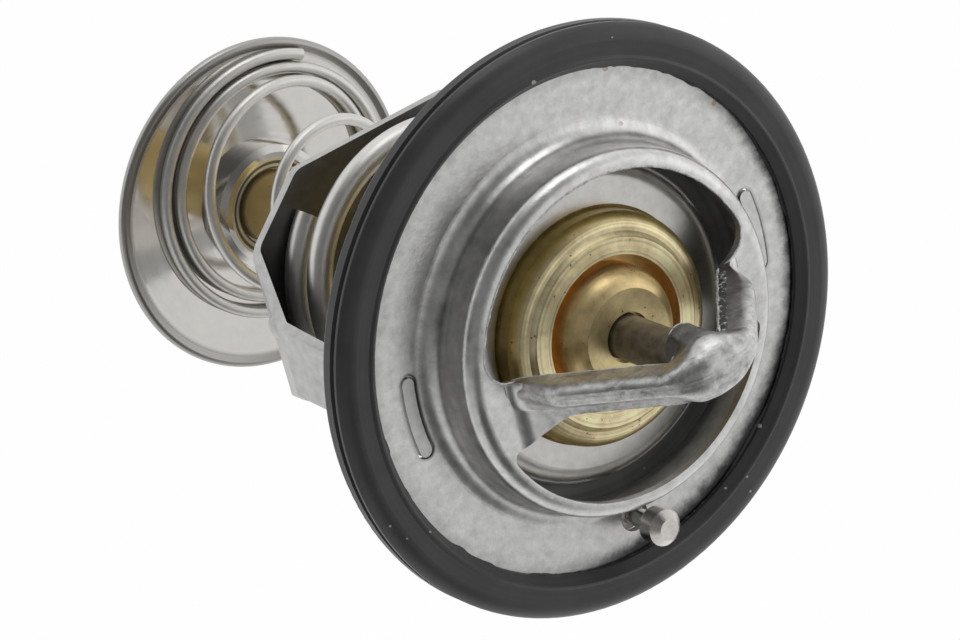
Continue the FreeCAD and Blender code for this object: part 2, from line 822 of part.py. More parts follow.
def bypass_disc():
    # A flat polished disc with a rolled rim, and a hub raised and curled in round the stem.
    face = bypass_face
    top = face + bypass_sheet
    hole = stem_hole
    crest = hub_top
    return turned((hub_radius, face), [
        (bypass_radius - bypass_rim_radius, face),
        arc_to((bypass_radius - bypass_rim_radius, face + bypass_rim_radius), bypass_rim_radius, -90, 90),
        (bypass_radius - 2 * bypass_rim_radius, top),
        (hub_radius, top),
        (hub_radius, crest - hub_edge),
        (hub_crest_radius + hub_crest_flat / 2, crest),
        (hub_crest_radius - hub_crest_flat / 2, crest),
        (hole, hub_under + bypass_sheet),
        (hole, hub_under),
        (hub_radius - bypass_sheet, hub_under),
        (hub_radius - bypass_sheet, face)])


def retaining_clip():
    # An open ring in the stem's groove.
    ring = tube(clip_radius, stem_radius - groove_depth + clip_gap, clip_bottom, clip_top)
    mouth = Part.makeBox(
        clip_radius * 2, clip_mouth, 3 * clip_sheet,
        FreeCAD.Vector(0, -clip_mouth / 2, clip_bottom - clip_sheet))
    return solid_of(ring.cut(mouth))


def jiggle_pin():
    x, y = jiggle_place()
    top = jiggle_stand_off + jiggle_head_height
    bead_centre = -sheet - jiggle_bead_gap - math.sqrt(jiggle_bead_radius ** 2 - vent_radius ** 2)
    tail = bead_centre - jiggle_bead_radius - jiggle_tail
    pin = turned((0, tail), [
        (jiggle_neck_radius, tail),
        (jiggle_neck_radius, jiggle_stand_off),
        (jiggle_head_radius, jiggle_stand_off),
        (jiggle_head_radius, top - jiggle_head_chamfer),
        (jiggle_head_radius - jiggle_head_chamfer, top),
        (0, top)])
    pin.translate(FreeCAD.Vector(x, y, 0))
    return pin


def jiggle_bead():
    x, y = jiggle_place()
    bead_centre = -sheet - jiggle_bead_gap - math.sqrt(jiggle_bead_radius ** 2 - vent_radius ** 2)
    ball = Part.makeSphere(jiggle_bead_radius, FreeCAD.Vector(x, y, bead_centre))
    low = bead_centre - 2 * jiggle_bead_radius
    high = bead_centre + 2 * jiggle_bead_radius
    return solid_of(ball.cut(rod(jiggle_neck_radius, low, high, x, y)))


PIECES = [
    flange_bridge, rim_gasket, yoke, piston, wax_cup, guide_cap, rubber_sleeve, piston_washer, wax_charge,
    main_valve_disc, main_valve_seal, backing_ring, spring_seat, main_spring, bypass_spring_seat,
    bypass_spring, bypass_disc, retaining_clip, jiggle_pin, jiggle_bead]


def main():
    os.makedirs("parts", exist_ok=True)
    for piece in PIECES:
        shape = piece()
        shape.exportStep("parts/" + piece.__name__ + ".step")


main()
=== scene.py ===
import math

import bmesh
import bpy
import numpy as np
from mathutils import Matrix, Vector


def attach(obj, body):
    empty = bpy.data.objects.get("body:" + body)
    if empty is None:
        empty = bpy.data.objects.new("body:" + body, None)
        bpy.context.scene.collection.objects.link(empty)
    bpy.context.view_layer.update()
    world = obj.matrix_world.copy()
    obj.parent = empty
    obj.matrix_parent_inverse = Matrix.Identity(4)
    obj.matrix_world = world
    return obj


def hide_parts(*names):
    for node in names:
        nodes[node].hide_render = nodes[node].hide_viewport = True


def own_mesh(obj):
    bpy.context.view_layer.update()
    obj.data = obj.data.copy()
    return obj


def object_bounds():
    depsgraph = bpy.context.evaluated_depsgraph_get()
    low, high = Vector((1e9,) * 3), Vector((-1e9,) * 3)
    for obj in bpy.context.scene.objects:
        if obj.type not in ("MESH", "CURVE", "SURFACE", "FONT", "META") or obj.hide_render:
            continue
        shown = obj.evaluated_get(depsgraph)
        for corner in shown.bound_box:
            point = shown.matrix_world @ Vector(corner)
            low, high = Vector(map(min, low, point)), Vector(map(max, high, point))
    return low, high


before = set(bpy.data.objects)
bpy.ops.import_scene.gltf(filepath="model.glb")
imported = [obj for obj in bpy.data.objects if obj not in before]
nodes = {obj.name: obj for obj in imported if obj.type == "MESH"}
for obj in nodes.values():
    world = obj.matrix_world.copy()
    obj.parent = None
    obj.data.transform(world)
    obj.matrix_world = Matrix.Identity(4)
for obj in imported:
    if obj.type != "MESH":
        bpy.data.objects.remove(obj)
cad_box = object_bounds()

MM = 0.001

# Camera: its place, and its right, up and back axes in the part's frame
CAMERA_PLACE = Vector((-286.08, 258.54, 470.61)) * MM
CAMERA_RIGHT = Vector((0.778286, -0.238361, 0.580909))
CAMERA_UP = Vector((0.431138, 0.875453, -0.218407))
CAMERA_BACK = Vector((-0.456499, 0.420435, 0.784119))
LENS = 225.0

# Studio: levels of the pale room, of its side behind the part, and of the table, whose zone is (direction,
# start, full). Dark zones are (direction, start, full, what is left). Directions are in the camera's right,
# up and back axes, and start and full are cosines.
ROOM_LEVEL = 0.80
BACKDROP_LEVEL = 0.92
TABLE_LEVEL = 0.55
TABLE_ZONE = ((-0.50, -0.80, 0.33), 0.80, 0.96)
DARK_ZONES = [
    ((-0.12, 0.05, 0.99), 0.42, 0.86, 0.26),
    ((-0.85, -0.40, 0.34), 0.75, 0.93, 0.12),
    ((0.45, -0.78, 0.44), 0.83, 0.94, 0.10),
    ((0.30, 0.45, 0.84), 0.80, 0.95, 0.55),
    ((-0.58, 0.66, 0.20), 0.72, 0.92, 0.45)]

# Lamps: name, direction in the same axes, distance, size and power
LAMPS = [
    ("top_lamp", (0.12, 0.90, 0.42), 0.9, 0.45, 1.1),
    ("right_lamp", (1.0, 0.30, 0.10), 1.2, 0.8, 0.75)]

# Floor: how far under the part it lies, and its size, in metres
FLOOR_DROP = 0.22
FLOOR_SIZE = 6.0

# Slots of the flange, in mm, as the part is built
SLOT_RADIUS = 22.45
SLOT_HALF_LINE = 3.75

# Sizes of the bridge and its opening, in mm, as the part is built
WEB_HEIGHT = 20.3
WEB_HALF = 2.9
LEG_FOOT = 13.9
RIM_HEIGHT = 6.3
SHEET = 0.9
WEB_BEND = 3.2
FOOT_BEND = 2.5
STRAP_FRONT = 1.6
RIB_HEIGHT = 2.64
OPENING_RADIUS = 17.4
WINDOW_FILLET = 3.0
GASKET_INNER = 26.5

# Springs: node, the body that carries it, its joint, the joint's travel and the height of the end that stays,
# both in metres. Their loose triangles are welded under a gap in metres, and are sharp over an angle.
SPRINGS = [
    ("main_spring", "frame", "valve_lift", 0.009, -0.032),
    ("bypass_spring", "element", "bypass_slide", 0.005, -0.0348)]
WELD = 2e-6
SHARP_ANGLE = math.radians(40)

# Colour of the bright rolled sheet
BRIGHT_SHEET = (0.68, 0.675, 0.665, 1.0)


def node(tree, kind, **sockets):
    """Adds a shader node. sockets are input values or links by input name."""
    made = tree.nodes.new(kind)
    for name, value in sockets.items():
        put(tree, value, made.inputs[name.replace("_", " ")])
    return made


def put(tree, value, socket):
    """Links an output to a socket, or sets the socket's value."""
    if isinstance(value, bpy.types.NodeSocket):
        tree.links.new(value, socket)
    else:
        socket.default_value = value


def math_node(tree, operation, first, second=0.0, third=0.0):
    made = tree.nodes.new("ShaderNodeMath")
    made.operation = operation
    for socket, value in zip(made.inputs, (first, second, third)):
        put(tree, value, socket)
    return made.outputs[0]


def mix_colour(tree, factor, first, second, blend="MIX"):
    made = tree.nodes.new("ShaderNodeMix")
    made.data_type = "RGBA"
    made.blend_type = blend
    put(tree, factor, made.inputs[0])
    put(tree, first, made.inputs[6])
    put(tree, second, made.inputs[7])
    return made.outputs[2]


def grade(tree, value, low, high, to_low=0.0, to_high=1.0):
    """Maps a value from one range to another, clamped, with soft ends."""
    made = tree.nodes.new("ShaderNodeMapRange")
    made.interpolation_type = "SMOOTHSTEP"
    for socket, number in zip(made.inputs, (value, low, high, to_low, to_high)):
        put(tree, number, socket)
    return made.outputs[0]


def grade_mm(tree, value, low, high, to_low=0.0, to_high=1.0):
    """Maps a length from one range to another, with its own range given in mm."""
    return grade(tree, value, low * MM, high * MM, to_low, to_high)


def times(tree, first, second):
    """The product of two values."""
    return math_node(tree, "MULTIPLY", first, second)


def plus(tree, first, second):
    """The sum of two values."""
    return math_node(tree, "ADD", first, second)


def dot_product(tree, first, second):
    made = tree.nodes.new("ShaderNodeVectorMath")
    made.operation = "DOT_PRODUCT"
    put(tree, first, made.inputs[0])
    put(tree, second, made.inputs[1])
    return made.outputs["Value"]


def noise(tree, place, scale, detail=3.0, roughness=0.5, distortion=0.0):
    made = node(
        tree, "ShaderNodeTexNoise",
        Vector=place, Scale=scale, Detail=detail, Roughness=roughness, Distortion=distortion)
    return made.outputs["Fac"]


def new_group(name, inputs, outputs):
    """A node group with inputs as (name, kind, default) and number outputs by name."""
    group = bpy.data.node_groups.new(name, "ShaderNodeTree")
    for label, kind, value in inputs:
        socket = group.interface.new_socket(name=label, in_out="INPUT", socket_type=kind)
        if value is not None:
            socket.default_value = value
    for label in outputs:
        group.interface.new_socket(name=label, in_out="OUTPUT", socket_type="NodeSocketFloat")
    start = group.nodes.new("NodeGroupInput")
    end = group.nodes.new("NodeGroupOutput")
    return group, start.outputs, end.inputs


def mottled_sheet():
    """Rolled and pickled sheet: cloudy light and dark patches, specks and a fine grain."""
    group, given, result = new_group(
        "mottled_sheet",
        [("Place", "NodeSocketVector", None), ("Cloud Size", "NodeSocketFloat", 300.0),
         ("Contrast", "NodeSocketFloat", 0.2)],
        ["Shade", "Gloss", "Height"])
    cloud = noise(group, given["Place"], given["Cloud Size"], 6.0, 0.62)
    specks = noise(group, given["Place"], 900.0, 3.0, 0.6)
    grain = noise(group, given["Place"], 2600.0, 2.0, 0.6)
    patch = times(group, math_node(group, "SUBTRACT", cloud, 0.5), given["Contrast"])
    speck = times(group, math_node(group, "SUBTRACT", specks, 0.5), times(group, given["Contrast"], 0.85))
    put(group, plus(group, plus(group, patch, speck), 1.0), result["Shade"])
    put(group, math_node(group, "MULTIPLY_ADD", cloud, 0.16, -0.08), result["Gloss"])
    put(group, plus(group, grain, specks), result["Height"])
    return group


def turned_lines():
    """Concentric tool marks round the Z axis: noise of the distance from the axis and of the height."""
    group, given, result = new_group(
        "turned_lines",
        [("Place", "NodeSocketVector", None), ("Lines", "NodeSocketFloat", 4000.0)],
        ["Line", "Radius"])
    split = node(group, "ShaderNodeSeparateXYZ", Vector=given["Place"])
    flat = node(group, "ShaderNodeCombineXYZ", X=split.outputs["X"], Y=split.outputs["Y"])
    length = group.nodes.new("ShaderNodeVectorMath")
    length.operation = "LENGTH"
    put(group, flat.outputs[0], length.inputs[0])
    radius = length.outputs["Value"]
    row = node(group, "ShaderNodeCombineXYZ", X=radius, Y=split.outputs["Z"])
    put(group, noise(group, row.outputs[0], given["Lines"]), result["Line"])
    put(group, radius, result["Radius"])
    return group


def pits():
    """Small scattered pits and specks: dots in the middle of a chosen share of a cell pattern's cells."""
    group, given, result = new_group(
        "pits",
        [("Place", "NodeSocketVector", None), ("Density", "NodeSocketFloat", 700.0),
         ("Size", "NodeSocketFloat", 0.12), ("Share", "NodeSocketFloat", 0.3)],
        ["Mask"])
    cells = node(group, "ShaderNodeTexVoronoi", Vector=given["Place"], Scale=given["Density"], Randomness=1.0)
    dot = math_node(group, "LESS_THAN", cells.outputs["Distance"], given["Size"])
    pick = node(group, "ShaderNodeSeparateColor", Color=cells.outputs["Color"])
    chosen = math_node(group, "LESS_THAN", pick.outputs[0], given["Share"])
    put(group, times(group, dot, chosen), result["Mask"])
    return group


MOTTLE = mottled_sheet()
TURNED = turned_lines()
PITS = pits()


def use_group(tree, group, **sockets):
    made = tree.nodes.new("ShaderNodeGroup")
    made.node_tree = group
    for name, value in sockets.items():
        put(tree, value, made.inputs[name.replace("_", " ")])
    return made.outputs


def blank_material(name):
    """A material with one Principled shader, and the Object coordinates that its patterns use."""
    made = bpy.data.materials.new(name)
    made.use_nodes = True
    tree = made.node_tree
    shader = tree.nodes["Principled BSDF"]
    place = tree.nodes.new("ShaderNodeTexCoord").outputs["Object"]
    return made, tree, shader, place


def set_shader(tree, shader, colour, metallic, roughness):
    put(tree, colour, shader.inputs["Base Color"])
    put(tree, metallic, shader.inputs["Metallic"])
    put(tree, roughness, shader.inputs["Roughness"])


def bump(tree, shader, height, strength, distance):
    made = node(tree, "ShaderNodeBump", Height=height, Strength=strength, Distance=distance)
    put(tree, made.outputs["Normal"], shader.inputs["Normal"])


def shaded(tree, colour, shade):
    """A colour times a shade near 1."""
    grey = node(tree, "ShaderNodeCombineColor", Red=shade, Green=shade, Blue=shade)
    return mix_colour(tree, 1.0, colour, grey.outputs[0], "MULTIPLY")


def slot_distance(tree, x, y, radius):
    """Distance from the middle line of the nearer curved slot of the flange, in metres."""
    across = math_node(tree, "SUBTRACT", radius, SLOT_RADIUS * MM)
    turn = math_node(tree, "ARCTAN2", y, math_node(tree, "ABSOLUTE", x))
    past = math_node(
        tree, "MULTIPLY_ADD", math_node(tree, "ABSOLUTE", turn), SLOT_RADIUS * MM, -SLOT_HALF_LINE * MM)
    past = math_node(tree, "MAXIMUM", past, 0.0)
    return math_node(tree, "SQRT", plus(tree, times(tree, across, across), times(tree, past, past)))


def flange_steel():
    """Satin stamped sheet, streaked and stained on the bridge.

    Painted shade lies beside the gasket as a dark band, widest towards +X and -Y; a painted shadow runs
    round each slot; brown specks lie on the +X side; the socket round the piston's tip is painted dark as
    shade; and the sheet is painted darker towards -Y as shade.
    """
    made, tree, shader, place = blank_material("flange_steel")
    split = node(tree, "ShaderNodeSeparateXYZ", Vector=place)
    x, y, height = split.outputs
    radius = use_group(tree, TURNED, Place=place)["Radius"]
    mottle = use_group(tree, MOTTLE, Place=place, Cloud_Size=420.0, Contrast=0.7)
    on_bridge = grade_mm(tree, height, 6.9, 9.0)

    patches = noise(tree, place, 210.0, 5.0, 0.66)
    fine_patches = noise(tree, place, 620.0, 5.0, 0.72)
    stretched = node(tree, "ShaderNodeMapping", Vector=place, Scale=(0.12, 1.0, 0.6))
    streaks = noise(tree, stretched.outputs[0], 1900.0, 4.0, 0.65, 0.4)
    stain = math_node(tree, "MULTIPLY_ADD", fine_patches, 0.6, times(tree, patches, 0.4))
    stain = grade(tree, stain, 0.42, 0.62, 0.0, 0.58)
    stain = plus(tree, stain, grade(tree, streaks, 0.45, 0.72, 0.0, 0.38))
    # Painted shade: the sheet grows darker towards -Y
    painted_shade_low = grade_mm(tree, y, -27.0, 6.0, 0.90, 1.0)
    colour = shaded(tree, BRIGHT_SHEET, times(tree, mottle["Shade"], painted_shade_low))
    colour = mix_colour(tree, times(tree, stain, on_bridge), colour, (0.22, 0.218, 0.215, 1.0))

    # Painted shade: a dark band beside the gasket, with a ragged border, widest towards +X and -Y
    to_right = plus(tree, times(tree, x, 0.80), times(tree, y, -0.60))
    to_low_right = plus(tree, times(tree, x, 0.35), times(tree, y, -0.94))
    ragged = math_node(tree, "MULTIPLY_ADD", fine_patches, 2.0 * MM, -1.0 * MM)
    edge = plus(tree, radius, grade_mm(tree, to_low_right, 17.0, 25.0, 0.0, 0.7 * MM))
    edge = plus(tree, edge, ragged)
    film_and_painted_shade = times(tree, grade_mm(tree, edge, 24.6, 26.6), grade_mm(tree, to_right, 3.0, 15.0, 0.20, 0.97))
    colour = mix_colour(tree, film_and_painted_shade, colour, (0.035, 0.035, 0.036, 1.0))

    # Painted shadow: a dark line round each slot, where the tab's clearance lies in shade
    gap = slot_distance(tree, x, y, radius)
    painted_slot_shadow = times(tree, grade_mm(tree, gap, 0.72, 0.9), grade_mm(tree, gap, 1.35, 1.0))
    painted_slot_shadow = times(tree, painted_slot_shadow, grade_mm(tree, radius, 22.9, 22.0, 0.25, 0.9))
    on_face = grade_mm(tree, height, 1.2, 0.4)
    colour = mix_colour(tree, times(tree, painted_slot_shadow, on_face), colour, (0.05, 0.05, 0.05, 1.0))

    specks = use_group(tree, PITS, Place=place, Density=520.0, Size=0.20, Share=0.07)["Mask"]
    outside = times(tree, grade_mm(tree, x, 4.0, 12.0), grade_mm(tree, radius, 19.5, 21.0))
    specks = times(tree, specks, times(tree, outside, 0.75))
    colour = mix_colour(tree, specks, colour, (0.30, 0.20, 0.10, 1.0))

    # Painted shade: the socket round the piston's tip is darkened
    socket = times(tree, grade_mm(tree, radius, 3.9, 2.9), grade_mm(tree, height, 19.8, 19.4))
    colour = mix_colour(tree, times(tree, socket, on_bridge), colour, (0.05, 0.05, 0.05, 1.0))

    rough = math_node(tree, "MULTIPLY_ADD", on_bridge, 0.08, plus(tree, mottle["Gloss"], 0.32))
    set_shader(tree, shader, colour, 1.0, rough)
    relief = math_node(tree, "MULTIPLY_ADD", times(tree, streaks, on_bridge), 1.6, mottle["Height"])
    bump(tree, shader, relief, 0.4, 0.00004)
    return made


def yoke_steel():
    """Plain sheet, painted dark as shade on the faces turned to the axis or to the valve, and bright on the
    tabs.
    """
    made, tree, shader, place = blank_material("yoke_steel")
    mottle = use_group(tree, MOTTLE, Place=place, Cloud_Size=380.0, Contrast=0.6)
    split = node(tree, "ShaderNodeSeparateXYZ", Vector=place)
    height = split.outputs["Z"]
    facing = tree.nodes.new("ShaderNodeTexCoord").outputs["Normal"]
    outward = node(tree, "ShaderNodeCombineXYZ", X=split.outputs["X"], Y=split.outputs["Y"])
    # Painted shade: faces turned to the axis, and low faces turned up to the valve, are darkened
    painted_shade_inside = grade_mm(tree, dot_product(tree, outward.outputs[0], facing), 0.5, -1.5)
    upward = node(tree, "ShaderNodeSeparateXYZ", Vector=facing).outputs["Z"]
    painted_shade_to_valve = times(tree, grade(tree, upward, 0.3, 0.6), grade_mm(tree, height, -5.0, -9.0))
    dark = math_node(tree, "MAXIMUM", painted_shade_inside, painted_shade_to_valve)
    colour = mix_colour(tree, dark, (0.50, 0.497, 0.49, 1.0), (0.17, 0.169, 0.167, 1.0))
    colour = mix_colour(tree, grade_mm(tree, height, -1.0, -0.4), colour, BRIGHT_SHEET)
    set_shader(tree, shader, shaded(tree, colour, mottle["Shade"]), 1.0, plus(tree, mottle["Gloss"], 0.42))
    bump(tree, shader, mottle["Height"], 0.15, 0.00003)
    return made


def valve_steel():
    """Plain sheet with faint tool marks round the axis."""
    made, tree, shader, place = blank_material("valve_steel")
    mottle = use_group(tree, MOTTLE, Place=place, Cloud_Size=300.0, Contrast=0.45)
    lines = use_group(tree, TURNED, Place=place, Lines=3000.0)
    colour = shaded(tree, (0.68, 0.665, 0.64, 1.0), mottle["Shade"])
    set_shader(tree, shader, colour, 1.0, plus(tree, mottle["Gloss"], 0.34))
    bump(tree, shader, math_node(tree, "MULTIPLY_ADD", lines["Line"], 0.5, mottle["Height"]), 0.2, 0.00003)
    return made


def brass():
    """Turned brass, coloured by its distance from the axis.

    From the middle out: pale flat top, dull dome, orange-brown recess, bright lipped rim with fine tool
    marks, and an olive side wall. Pits and a brown film lie over all of it. The stem is clean.
    """
    made, tree, shader, place = blank_material("brass")
    height = node(tree, "ShaderNodeSeparateXYZ", Vector=place).outputs["Z"]
    mottle = use_group(tree, MOTTLE, Place=place, Cloud_Size=420.0, Contrast=0.6)
    lines = use_group(tree, TURNED, Place=place, Lines=3600.0)
    radius = lines["Radius"]

    colour = mix_colour(
        tree, grade_mm(tree, radius, 4.8, 5.4), (0.82, 0.67, 0.36, 1.0), (0.80, 0.62, 0.31, 1.0))
    recess = times(tree, grade_mm(tree, radius, 6.2, 7.0), grade_mm(tree, height, 4.85, 4.2))
    colour = mix_colour(tree, recess, colour, (0.95, 0.62, 0.24, 1.0))
    colour = mix_colour(tree, grade_mm(tree, radius, 8.0, 8.2), colour, (0.97, 0.84, 0.52, 1.0))
    colour = mix_colour(tree, grade_mm(tree, radius, 11.0, 12.1), colour, (0.56, 0.42, 0.14, 1.0))
    colour = mix_colour(tree, grade_mm(tree, height, 3.0, 0.5), colour, (0.54, 0.41, 0.14, 1.0))

    film_and_painted_shade = grade(tree, noise(tree, place, 170.0, 5.0, 0.68), 0.45, 0.68, 0.0, 0.38)
    colour = mix_colour(tree, film_and_painted_shade, shaded(tree, colour, mottle["Shade"]), (0.30, 0.22, 0.09, 1.0))

    rim = times(tree, grade_mm(tree, radius, 7.9, 8.3), grade_mm(tree, radius, 12.2, 11.0))
    marks = math_node(tree, "MULTIPLY_ADD", rim, 0.85, 0.15)
    band = math_node(tree, "SUBTRACT", grade(tree, lines["Line"], 0.3, 0.7, 0.72, 1.15), 1.0)
    colour = shaded(tree, colour, math_node(tree, "MULTIPLY_ADD", band, marks, 1.0))

    stem = times(tree, grade_mm(tree, height, -13.0, -17.0), grade_mm(tree, radius, 6.5, 5.5))
    colour = mix_colour(tree, stem, colour, (0.88, 0.68, 0.30, 1.0))

    dots = use_group(tree, PITS, Place=place, Density=1500.0, Size=0.16, Share=0.10)["Mask"]
    spots = grade(tree, noise(tree, place, 1100.0, 3.0, 0.75), 0.68, 0.72)
    dots = math_node(tree, "MAXIMUM", dots, spots)
    colour = mix_colour(tree, times(tree, dots, 0.8), colour, (0.10, 0.065, 0.03, 1.0))

    set_shader(tree, shader, colour, 0.82, plus(tree, mottle["Gloss"], 0.37))
    relief = math_node(tree, "MULTIPLY_ADD", lines["Line"], marks, times(tree, mottle["Height"], 0.35))
    bump(tree, shader, relief, 0.45, 0.00006)
    return made


def plain_metal(name, colour, cloud_size, contrast, roughness, strength, metallic=1.0):
    """Metal of one colour, slightly mottled."""
    made, tree, shader, place = blank_material(name)
    mottle = use_group(tree, MOTTLE, Place=place, Cloud_Size=cloud_size, Contrast=contrast)
    set_shader(
        tree, shader, shaded(tree, colour, mottle["Shade"]), metallic, plus(tree, mottle["Gloss"], roughness))
    bump(tree, shader, mottle["Height"], strength, 0.00002)
    return made


def polished_steel():
    """Polished disc, duller and darker on the rolled rim, with painted reflections as dark and light rings in
    the hub's mouth.
    """
    made, tree, shader, place = blank_material("polished_steel")
    lines = use_group(tree, TURNED, Place=place, Lines=2400.0)
    radius = lines["Radius"]
    mottle = use_group(tree, MOTTLE, Place=place, Cloud_Size=160.0, Contrast=0.12)
    dull = math_node(
        tree, "MAXIMUM", grade_mm(tree, radius, 16.6, 17.4), grade_mm(tree, radius, 5.7, 5.3))
    colour = shaded(tree, (0.70, 0.68, 0.65, 1.0), mottle["Shade"])
    colour = mix_colour(tree, dull, colour, (0.42, 0.41, 0.39, 1.0))
    # Painted reflection: dark and light rings stand in for the mouth's reflections, and the mouth is made less
    # metallic
    mouth = grade_mm(tree, radius, 5.6, 5.4)
    waves = math_node(tree, "SINE", times(tree, radius, 8400.0))
    painted_reflection_rings = mix_colour(tree, grade(tree, waves, -0.6, 0.6), (0.10, 0.10, 0.10, 1.0), (0.62, 0.61, 0.60, 1.0))
    colour = mix_colour(tree, mouth, colour, painted_reflection_rings)
    metallic = math_node(tree, "MULTIPLY_ADD", mouth, -0.55, 1.0)
    shine = grade(tree, lines["Line"], 0.3, 0.7, 0.06, 0.13)
    set_shader(tree, shader, colour, metallic, math_node(tree, "MULTIPLY_ADD", dull, 0.26, shine))
    bump(tree, shader, lines["Line"], 0.06, 0.00003)
    return made


def rubber(name, level, roughness):
    """Black moulded rubber with faint streaks round the axis, a cloudy bloom and pale dust specks."""
    made, tree, shader, place = blank_material(name)
    bloom = noise(tree, place, 160.0, 4.0, 0.6)
    streaks = use_group(tree, TURNED, Place=place, Lines=1500.0)["Line"]
    dust = use_group(tree, PITS, Place=place, Density=300.0, Size=0.085, Share=0.10)["Mask"]
    fine_dust = use_group(tree, PITS, Place=place, Density=760.0, Size=0.11, Share=0.05)["Mask"]
    dark = (level * 0.45, level * 0.45, level * 0.46, 1.0)
    pale = (level * 2.0, level * 2.0, level * 2.0, 1.0)
    cloudy = math_node(tree, "MULTIPLY_ADD", streaks, 0.6, math_node(tree, "MULTIPLY_ADD", bloom, 0.8, -0.2))
    dusty = times(tree, math_node(tree, "MAXIMUM", dust, fine_dust), 0.7)
    colour = mix_colour(tree, dusty, mix_colour(tree, cloudy, dark, pale), (0.62, 0.62, 0.62, 1.0))
    put(tree, colour, shader.inputs["Base Color"])
    rough = math_node(tree, "MULTIPLY_ADD", streaks, 0.22, roughness - 0.11)
    put(tree, rough, shader.inputs["Roughness"])
    bump(tree, shader, plus(tree, noise(tree, place, 2400.0, 2.0, 0.5), streaks), 0.25, 0.00003)
    return made


def plain_filling(name, colour, roughness):
    """A moulded or cast filling with a slight cloud in its colour."""
    made, tree, shader, place = blank_material(name)
    cloud = noise(tree, place, 500.0, 4.0, 0.6)
    put(tree, shaded(tree, colour, grade(tree, cloud, 0.3, 0.7, 0.85, 1.1)), shader.inputs["Base Color"])
    put(tree, roughness, shader.inputs["Roughness"])
    bump(tree, shader, cloud, 0.1, 0.00003)
    return made


def sheared_edge():
    """Freshly sheared steel: bright, dull and grainy."""
    made, tree, shader, place = blank_material("sheared_edge")
    grain = noise(tree, place, 1500.0, 4.0, 0.7)
    colour = shaded(tree, (0.86, 0.86, 0.85, 1.0), grade(tree, grain, 0.3, 0.7, 0.55, 1.1))
    set_shader(tree, shader, colour, 0.35, 0.5)
    bump(tree, shader, grain, 0.4, 0.00005)
    return made


def torn_edge():
    """The torn zone of a sheared edge: dark rough steel with bright slivers that run across the sheet."""
    made, tree, shader, place = blank_material("torn_edge")
    stretched = node(tree, "ShaderNodeMapping", Vector=place, Scale=(1.0, 0.5, 1.0))
    slivers = grade(tree, noise(tree, stretched.outputs[0], 1500.0, 4.0, 0.7, 0.6), 0.50, 0.66)
    colour = mix_colour(tree, slivers, (0.10, 0.10, 0.10, 1.0), (0.85, 0.85, 0.84, 1.0))
    set_shader(tree, shader, colour, 0.6, 0.5)
    bump(tree, shader, slivers, 0.5, 0.00008)
    return made


def dress(material, *names):
    for name in names:
        mesh = nodes[name].data
        mesh.materials.clear()
        mesh.materials.append(material)


def dress_nodes():
    """Gives every CAD node its material. Returns the materials that the added pieces share."""
    steel = flange_steel()
    wire = plain_metal("spring_wire", (0.70, 0.685, 0.655, 1.0), 500.0, 0.22, 0.42, 0.12)
    pin = plain_metal("pin_steel", (0.66, 0.63, 0.595, 1.0), 900.0, 0.3, 0.25, 0.15)
    ground = plain_metal("piston_steel", (0.28, 0.25, 0.21, 1.0), 900.0, 0.9, 0.42, 0.15, 0.85)
    gasket = rubber("gasket_rubber", 0.042, 0.40)
    dress(steel, "flange_bridge")
    dress(yoke_steel(), "yoke")
    dress(gasket, "rim_gasket")
    dress(rubber("seal_rubber", 0.20, 0.5), "main_valve_seal", "rubber_sleeve")
    dress(ground, "piston")
    dress(brass(), "wax_cup", "guide_cap")
    dress(plain_filling("washer_plastic", (0.80, 0.79, 0.75, 1.0), 0.4), "piston_washer")
    dress(plain_filling("wax", (0.50, 0.33, 0.18, 1.0), 0.6), "wax_charge")
    dress(valve_steel(), "main_valve_disc", "backing_ring", "spring_seat", "bypass_spring_seat")
    dress(wire, "main_spring", "bypass_spring", "retaining_clip")
    dress(polished_steel(), "bypass_disc")
    dress(pin, "jiggle_pin", "jiggle_bead")
    return steel, wire, gasket


def place_camera():
    data = bpy.data.cameras.new("photo_camera")
    data.sensor_width = 36.0
    data.lens = LENS
    data.clip_end = 20.0
    camera = bpy.data.objects.new("photo_camera", data)
    bpy.context.scene.collection.objects.link(camera)
    turn = Matrix((CAMERA_RIGHT, CAMERA_UP, CAMERA_BACK)).transposed()
    camera.matrix_world = Matrix.Translation(CAMERA_PLACE) @ turn.to_4x4()
    bpy.context.scene.camera = camera


def direction_from_camera(right, up, back):
    return (CAMERA_RIGHT * right + CAMERA_UP * up + CAMERA_BACK * back).normalized()


def place_lamp(name, direction, distance, size, power):
    """A soft square lamp that faces the object from a side named in the camera's own axes."""
    data = bpy.data.lights.new(name, "AREA")
    data.shape = "SQUARE"
    data.size = size
    data.energy = power
    lamp = bpy.data.objects.new(name, data)
    bpy.context.scene.collection.objects.link(lamp)
    way = direction_from_camera(*direction)
    lamp.matrix_world = Matrix.Translation(way * distance) @ way.to_track_quat("Z", "Y").to_matrix().to_4x4()


def build_world():
    """A white room, brightest behind the part, with dark zones and a table.

    The camera itself sees plain white.
    """
    world = bpy.data.worlds.new("studio")
    bpy.context.scene.world = world
    world.use_nodes = True
    tree = world.node_tree
    tree.nodes.clear()
    way = tree.nodes.new("ShaderNodeTexCoord").outputs["Generated"]

    def zone(direction, start, full, outside, painted_shade_inside):
        towards = dot_product(tree, way, direction_from_camera(*direction))
        return grade(tree, towards, start, full, outside, painted_shade_inside)

    level = zone((0.0, 0.0, -1.0), -0.2, 0.6, ROOM_LEVEL, BACKDROP_LEVEL)
    for direction, start, full, left_over in DARK_ZONES:
        level = times(tree, level, zone(direction, start, full, 1.0, left_over))
    level = math_node(tree, "MAXIMUM", level, zone(*TABLE_ZONE, 0.0, TABLE_LEVEL))
    path = tree.nodes.new("ShaderNodeLightPath")
    level = math_node(tree, "MAXIMUM", level, path.outputs["Is Camera Ray"])
    light = node(tree, "ShaderNodeBackground", Color=(1.0, 1.0, 1.0, 1.0), Strength=level)
    node(tree, "ShaderNodeOutputWorld", Surface=light.outputs[0])


